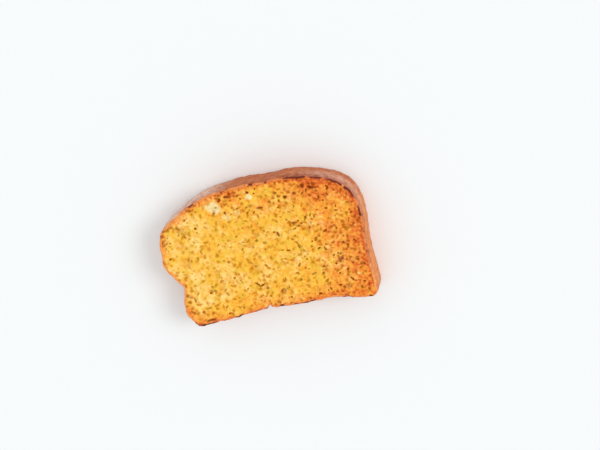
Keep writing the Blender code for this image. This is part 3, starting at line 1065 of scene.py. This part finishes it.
def make_dark_crumbs(settings):
    """Small burnt crumbs, more of them towards the crust on the right and at the crown."""
    draw = np.random.default_rng(DARK_CRUMB_SEED)
    places = favoured_points(settings.crumbs, DARK_CRUMB_SEED + 1, 2 * MM, more_where_toasted)
    size = sized(DARK_CRUMB_SIZE, draw.random(len(places)) ** 2)
    width = size * (0.5 + 0.4 * draw.random(len(places)))
    turn = TURN * draw.random(len(places))
    shapes = lumps(places, size, width, 0.35 * size, turn, DARK_CRUMB_SHAPE, draw)
    shade = draw.random(len(places))
    material = dark_crumb_material(settings)
    scatter("dark_crumbs", shapes, shell_faces(*DARK_CRUMB_SHAPE), shade, material)


# ---- materials -----------------------------------------------------------------------------

MIXED = 2  # the output of a Mix node that has its colour

# The noise patterns: the size of what repeats in each, its detail and its roughness.
CRUMB_NOISES = {
    "patches": (9 * MM, 3.0, 0.7),
    "mottle": (3.8 * MM, 2.0, 0.6),
    "fine": (1.9 * MM, 1.0, 0.5),
    "green": (4.6 * MM, 2.0, 0.5),
    "grain": (1.0 * MM, 2.0, 0.5),
}
CRUST_NOISES = {
    "blotches": (7 * MM, 3.0, 0.6),
    "crags": (5.2 * MM, 4.0, 0.5),
    "specks": (3.4 * MM, 5.0, 0.7),
}
FINEST_PORE = 3.6 * MM  # from one of the crumb's finest pores to the next
FINEST_PULL = 2.2 * MM  # how far, and in what steps, they are pulled out of round


def add(tree, kind, inputs=None, out=0, **settings):
    """Adds a node with its settings and gives back one of its outputs. An input that is given
    a socket is linked to it, and any other input takes the value."""
    node = tree.nodes.new("ShaderNode" + kind)
    for name, value in settings.items():
        setattr(node, name, value)
    for name, value in (inputs or {}).items():
        if isinstance(value, NodeSocket):
            tree.links.new(value, node.inputs[name])
        else:
            node.inputs[name].default_value = value
    return node.outputs[out] if node.outputs else None


def per(size):
    """A pattern's scale, from the size in metres of what repeats in it."""
    return 1.0 / size


def rgba(settings_colour):
    """A settings colour, fully opaque."""
    return (*settings_colour, 1.0)


def new_material(name, attributes=(), noises=None):
    """A material and its node tree, which so far holds the place, the mesh's attributes and the
    noise patterns that it reads, and these by name."""
    material = bpy.data.materials.new(name)
    material.use_nodes = True
    tree = material.node_tree
    tree.nodes.clear()
    read = {"place": add(tree, "TexCoord", out="Object")}
    for label in attributes:
        read[label] = add(tree, "Attribute", out="Fac", attribute_name=label)
    for label, (size, detail, roughness) in (noises or {}).items():
        pattern = {"Vector": read["place"], "Scale": per(size)}
        pattern.update({"Detail": detail, "Roughness": roughness})
        read[label] = add(tree, "TexNoise", pattern)
    return material, tree, read


def shares_of(tree, ranges):
    """The share of each layer by name: it grows from 0, where the value that the layer goes
    by has its first number, to the most at its second."""
    shares = {}
    for name, (value, first, second, most) in ranges.items():
        spans = {"Value": value, "From Min": first, "From Max": second, "To Max": most}
        shares[name] = add(tree, "MapRange", spans)
    return shares


def layered(tree, ground, layers):
    """A ground colour with colours laid over it in turn, each by its share."""
    for share, over in layers:
        mix = {0: share}
        for side, chosen in ((6, ground), (7, over)):
            mix[side] = chosen if isinstance(chosen, NodeSocket) else rgba(chosen)
        ground = add(tree, "Mix", mix, MIXED, data_type="RGBA")
    return ground


def crumb_material(settings):
    """White bread crumb, toasted and soaked in garlic butter. It is matte and open, with a faint oily
    gloss where butter stands: pale to golden walls, amber in its pores, painted shade down in the
    deepest of them, browner where it toasted, and orange with scorched specks where it toasted more."""
    attributes = ("toast", "soak", "hollow", "pit", "bare", "smudge", "stain", "burn")
    material, tree, read = new_material("toasted_bread_crumb", attributes, CRUMB_NOISES)
    patches, mottle, fine = read["patches"], read["mottle"], read["fine"]

    # The finest pores: the cells of a Voronoi pattern, pulled out of round by noise, each of
    # a size of its own.
    pull_by = {"Vector": read["place"], "Scale": per(FINEST_PULL), "Detail": 1.0}
    pull = add(tree, "TexNoise", pull_by, "Color")
    pulled_by = {0: pull, 1: (FINEST_PULL,) * 3, 2: read["place"]}
    pulled = add(tree, "VectorMath", pulled_by, operation="MULTIPLY_ADD")
    cells = add(tree, "TexVoronoi", {"Vector": pulled, "Scale": per(FINEST_PORE)})
    drawn = add(tree, "SeparateColor", {"Color": cells.node.outputs["Color"]})
    pores = add(tree, "Math", {0: drawn, 1: 0.3, 2: cells}, operation="MULTIPLY_ADD")

    soaked = add(tree, "Math", {0: read["soak"], 1: 0.16, 2: patches}, operation="MULTIPLY_ADD")
    # Toasting varies from grain to grain, so two noises shift it before it is used.
    toast = add(tree, "Math", {0: mottle, 1: 1.1, 2: read["toast"]}, operation="MULTIPLY_ADD")
    toast = add(tree, "Math", {0: fine, 1: 1.3, 2: toast}, operation="MULTIPLY_ADD")
    toast = add(tree, "Math", {0: toast, 1: 1.2}, operation="SUBTRACT")
    # Pores are darkened with painted shade from their middles outwards, the further the more the crumb
    # is toasted.
    core = add(tree, "Math", {0: toast, 1: -0.15, 2: pores}, operation="MULTIPLY_ADD")
    ranges = {
        "gold": (soaked, 0.41, 0.66, 1.0),
        "mottled": (mottle, 0.48, 0.7, 0.65),
        "pore_edge": (pores, 0.66, 0.3, 0.7),
        "pit_edge": (read["pit"], 0.02, 0.6, 0.7),
        "herb": (read["green"], 0.53, 0.68, 0.5),
        "toasted": (toast, 0.1, 1.0, 0.9),
        "scorched": (toast, 0.95, 1.55, 0.9),
        "pore_shade": (core, 0.42, 0.14, 0.75),
        "pit_shade": (read["pit"], 0.35, 1.0, 0.75),
    }
    share = shares_of(tree, ranges)
    amber = share["mottled"]
    for edge in ("pore_edge", "pit_edge"):
        amber = add(tree, "Math", {0: amber, 1: share[edge]}, operation="MAXIMUM")
    amber_by = {0: read["hollow"], 1: 0.3, 2: amber}
    amber = add(tree, "Math", amber_by, operation="MULTIPLY_ADD", use_clamp=True)
    # The pore floors are darkened with painted shade, browner where the crumb is toasted.
    cores = {0: share["pore_shade"], 1: share["pit_shade"]}
    deep = add(tree, "Math", cores, operation="MAXIMUM")
    pore_shade_colour = layered(tree, settings.pit, [(share["toasted"], settings.browned)])

    # The brown marks are broken up by the fine noise.
    broken_by = {"Value": fine, "From Min": 0.35, "From Max": 0.6, "To Min": 0.6, "To Max": 1.1}
    broken = add(tree, "MapRange", broken_by)
    for mark in ("smudge", "stain"):
        marked_by = {0: read[mark], 1: broken}
        read[mark] = add(tree, "Math", marked_by, operation="MULTIPLY", use_clamp=True)

    layers = (
        (share["gold"], settings.gold),
        (amber, settings.butter),
        (share["herb"], settings.herb),
        (share["toasted"], settings.toasted),
        (share["scorched"], settings.scorched),
        (deep, pore_shade_colour),
        (read["bare"], settings.bare),
        (read["smudge"], settings.smudged),
        (read["stain"], settings.stained),
        (read["burn"], settings.charred),
    )
    gloss_by = {"Value": patches, "From Min": 0.35, "From Max": 0.65}
    gloss_by.update({"To Min": 0.75, "To Max": 0.5})
    grain_by = {"Height": read["grain"], "Strength": 0.3, "Distance": 0.4 * MM}
    bump_by = {"Height": share["pore_edge"], "Strength": 0.5, "Distance": -0.3 * MM}
    bump_by["Normal"] = add(tree, "Bump", grain_by)
    look = {
        "Base Color": layered(tree, settings.pale, layers),
        "Roughness": add(tree, "MapRange", gloss_by),
        "Normal": add(tree, "Bump", bump_by),
        "IOR": 1.45,
        "Specular IOR Level": 0.06,
    }
    add(tree, "OutputMaterial", {"Surface": add(tree, "BsdfPrincipled", look)})
    return material


def crust_material(settings):
    """Tin loaf crust: baked against metal, so it is close and matte, brown at the crown, paler
    down the sides, and floury in places. Where the knife cut it, it toasted orange, with
    charred crags."""
    attributes = ("rim", "brown", "flour", "char", "scorch", "burn")
    material, tree, read = new_material("baked_bread_crust", attributes, CRUST_NOISES)
    blotches, crags, specks = read["blotches"], read["crags"], read["specks"]
    flour, char = read["flour"], read["char"]
    brown = add(tree, "Math", {0: blotches, 1: 1.6, 2: read["brown"]}, operation="MULTIPLY_ADD")
    dust = add(tree, "Math", {0: crags, 1: flour}, operation="MULTIPLY")
    palest = add(tree, "Math", {0: flour, 1: 0.6, 2: 0.18}, operation="MULTIPLY_ADD")
    baked = add(tree, "Math", {0: read["scorch"], 1: 0.26, 2: specks}, operation="MULTIPLY_ADD")
    redness = add(tree, "Math", {0: char, 1: 0.3, 2: specks}, operation="MULTIPLY_ADD")
    uneven = add(tree, "Math", {0: blotches, 1: 0.9, 2: crags}, operation="MULTIPLY_ADD")
    burnt = add(tree, "Math", {0: char, 1: 0.3, 2: uneven}, operation="MULTIPLY_ADD")
    ranges = {
        "crown": (brown, 0.8, 1.7, 1.0),
        "dusted": (dust, 0.05, 0.6, 1.0),
        "paled": (crags, 0.62, 0.28, palest),
        "specked": (baked, 0.43, 0.8, 0.9),
        "rust": (redness, 0.47, 0.82, 1.0),
        "charred": (burnt, 1.1, 1.24, 1.0),
    }
    share = shares_of(tree, ranges)

    # The cut edge: orange, red where it is more toasted, and charred at its outer crags.
    lip = layered(tree, settings.lip, [(share["rust"], settings.rust)])
    dark = add(tree, "Math", {0: share["charred"], 1: read["rim"]}, operation="MULTIPLY")
    layers = (
        (share["crown"], settings.crown),
        (share["dusted"], settings.flour),
        (share["paled"], settings.flour),
        (share["specked"], settings.speck),
        (read["rim"], lip),
        (dark, settings.rim),
        (read["burn"], settings.charred),
    )
    bump_by = {"Height": specks, "Strength": 0.7, "Distance": 0.5 * MM}
    look = {
        "Base Color": layered(tree, settings.side, layers),
        "Roughness": add(tree, "MapRange", {"Value": blotches, "To Min": 0.55, "To Max": 0.8}),
        "Normal": add(tree, "Bump", bump_by),
        "IOR": 1.45,
        "Specular IOR Level": 0.2,
    }
    add(tree, "OutputMaterial", {"Surface": add(tree, "BsdfPrincipled", look)})
    return material


def shaded_material(name, first, second, roughness, vein):
    """A small piece's material: each shape lies somewhere between two colours, and veins or
    blotches of the given size vary it within itself."""
    material, tree, read = new_material(name, ["shade"], {"veins": (vein, 2.0, 0.5)})
    moved_by = {0: read["veins"], 1: 0.9, 2: read["shade"]}
    moved = add(tree, "Math", moved_by, operation="MULTIPLY_ADD")
    share = add(tree, "MapRange", {"Value": moved, "From Min": 0.3, "From Max": 1.4})
    bump_by = {"Height": read["veins"], "Strength": 0.4, "Distance": 0.2 * MM}
    look = {
        "Base Color": layered(tree, first, [(share, second)]),
        "Roughness": roughness,
        "Normal": add(tree, "Bump", bump_by),
        "IOR": 1.45,
        "Specular IOR Level": 0.06,
    }
    add(tree, "OutputMaterial", {"Surface": add(tree, "BsdfPrincipled", look)})
    return material


def parsley_material(settings):
    """Dried, rubbed parsley: papery and matte, ochre where butter stained it, and brown where
    the grill caught it."""
    first, second = settings.parsley_pale, settings.parsley_brown
    return shaded_material("dried_rubbed_parsley", first, second, 0.7, 0.6 * MM)


def garlic_material(settings):
    """Chopped garlic, fried in the butter: waxy, cream with toasted corners."""
    first, second = settings.garlic_pale, settings.garlic_toasted
    return shaded_material("fried_garlic", first, second, 0.45, 1.0 * MM)


def dark_crumb_material(settings):
    """Burnt crumbs: dry and matte, from amber to dark brown."""
    first, second = settings.crumb_dark, settings.parsley_brown
    return shaded_material("burnt_crumbs", first, second, 0.8, 0.5 * MM)


# ---- the stage -----------------------------------------------------------------------------

CAMERA_PLACE = (300.4 * MM, 375.6 * MM, 1268.9 * MM)
CAMERA_TURN = (-18.115, 8.623, -12.272)  # degrees
SENSOR_WIDTH = 36.0
KEY_FROM = (0.75, 0.12, 0.75)  # the direction in which the key light stands


def make_floor(settings):
    """A plain pale floor, one flat square just under the slice."""
    half = settings.floor_size / 2
    corners = [(-half, -half), (half, -half), (half, half), (-half, half)]
    mesh = bpy.data.meshes.new("floor")
    mesh.from_pydata([(x, y, -0.05 * MM) for x, y in corners], [], [(0, 1, 2, 3)])
    material, tree, _ = new_material("pale_floor")
    look = {"Base Color": rgba(settings.floor), "Roughness": 0.8, "Specular IOR Level": 0.2}
    add(tree, "OutputMaterial", {"Surface": add(tree, "BsdfPrincipled", look)})
    mesh.materials.append(material)
    floor = bpy.data.objects.new("floor", mesh)
    bpy.context.scene.collection.objects.link(floor)


def make_light(settings):
    """Light from all round, and one wide soft light from the right."""
    scene = bpy.context.scene
    world = bpy.data.worlds.new("studio")
    world.use_nodes = True
    background = world.node_tree.nodes["Background"]
    background.inputs["Color"].default_value = (1.0, 1.0, 1.0, 1.0)
    background.inputs["Strength"].default_value = settings.sky
    scene.world = world
    lamp = bpy.data.lights.new("key", "SUN")
    lamp.energy = settings.key
    lamp.angle = settings.softness
    key = bpy.data.objects.new("key", lamp)
    away = np.array(KEY_FROM) / np.linalg.norm(KEY_FROM)
    key.rotation_euler = Euler((0, math.acos(away[2]), math.atan2(away[1], away[0])))
    scene.collection.objects.link(key)
    scene.view_settings.view_transform = "Standard"


def make_camera(settings):
    """The camera, which looks down on the slice from its right and from above its crown."""
    lens = bpy.data.cameras.new("camera")
    lens.lens = settings.lens
    lens.sensor_width = SENSOR_WIDTH
    camera = bpy.data.objects.new("camera", lens)
    camera.location = CAMERA_PLACE
    camera.rotation_euler = Euler([math.radians(turn) for turn in CAMERA_TURN])
    bpy.context.scene.collection.objects.link(camera)
    bpy.context.scene.camera = camera


# ---- operators -----------------------------------------------------------------------------


class GARLICBREAD_OT_crumb(Operator):
    """Adds both cut faces of the slice"""

    bl_idname = "garlic_bread.crumb"
    bl_label = "Crumb"

    def execute(self, context):
        make_crumb(context.scene.garlic_bread.crumb)
        return {"FINISHED"}


class GARLICBREAD_OT_crust(Operator):
    """Adds the crust round the slice"""

    bl_idname = "garlic_bread.crust"
    bl_label = "Crust"

    def execute(self, context):
        make_crust(context.scene.garlic_bread.crust)
        return {"FINISHED"}


class GARLICBREAD_OT_parsley(Operator):
    """Adds the dried parsley"""

    bl_idname = "garlic_bread.parsley"
    bl_label = "Parsley"

    def execute(self, context):
        make_parsley(context.scene.garlic_bread.toppings)
        return {"FINISHED"}


class GARLICBREAD_OT_garlic(Operator):
    """Adds the bits of chopped garlic"""

    bl_idname = "garlic_bread.garlic"
    bl_label = "Garlic"

    def execute(self, context):
        make_garlic(context.scene.garlic_bread.toppings)
        return {"FINISHED"}


class GARLICBREAD_OT_dark_crumbs(Operator):
    """Adds the burnt crumbs"""

    bl_idname = "garlic_bread.dark_crumbs"
    bl_label = "Dark crumbs"

    def execute(self, context):
        make_dark_crumbs(context.scene.garlic_bread.toppings)
        return {"FINISHED"}


class GARLICBREAD_OT_stage(Operator):
    """Adds the floor, the light and the camera"""

    bl_idname = "garlic_bread.stage"
    bl_label = "Stage"

    def execute(self, context):
        settings = context.scene.garlic_bread.stage
        make_floor(settings)
        make_light(settings)
        make_camera(settings)
        return {"FINISHED"}


OPERATORS = (
    GARLICBREAD_OT_crumb,
    GARLICBREAD_OT_crust,
    GARLICBREAD_OT_parsley,
    GARLICBREAD_OT_garlic,
    GARLICBREAD_OT_dark_crumbs,
    GARLICBREAD_OT_stage,
)


class VIEW3D_PT_garlic_bread(Panel):
    """The sidebar's panel: the settings, and a button for each piece"""

    bl_label = "Garlic bread"
    bl_space_type = "VIEW_3D"
    bl_region_type = "UI"
    bl_category = "Garlic bread"

    def draw(self, context):
        settings = context.scene.garlic_bread
        for group in (settings.crumb, settings.crust, settings.toppings, settings.stage):
            box = self.layout.box()
            for name in group.__annotations__:
                box.prop(group, name)
        for operator in OPERATORS:
            self.layout.operator(operator.bl_idname)


CLASSES = (
    CrumbSettings,
    CrustSettings,
    ToppingSettings,
    StageSettings,
    GarlicBread,
    *OPERATORS,
    VIEW3D_PT_garlic_bread,
)


def register():
    for cls in CLASSES:
        bpy.utils.register_class(cls)
    bpy.types.Scene.garlic_bread = PointerProperty(type=GarlicBread)


def unregister():
    del bpy.types.Scene.garlic_bread
    for cls in reversed(CLASSES):
        bpy.utils.unregister_class(cls)


def main():
    """Makes every piece and the stage."""
    register()
    bpy.ops.garlic_bread.crumb()
    bpy.ops.garlic_bread.crust()
    bpy.ops.garlic_bread.parsley()
    bpy.ops.garlic_bread.garlic()
    bpy.ops.garlic_bread.dark_crumbs()
    bpy.ops.garlic_bread.stage()
    bpy.context.view_layer.update()


if __name__ == "__main__":
    main()
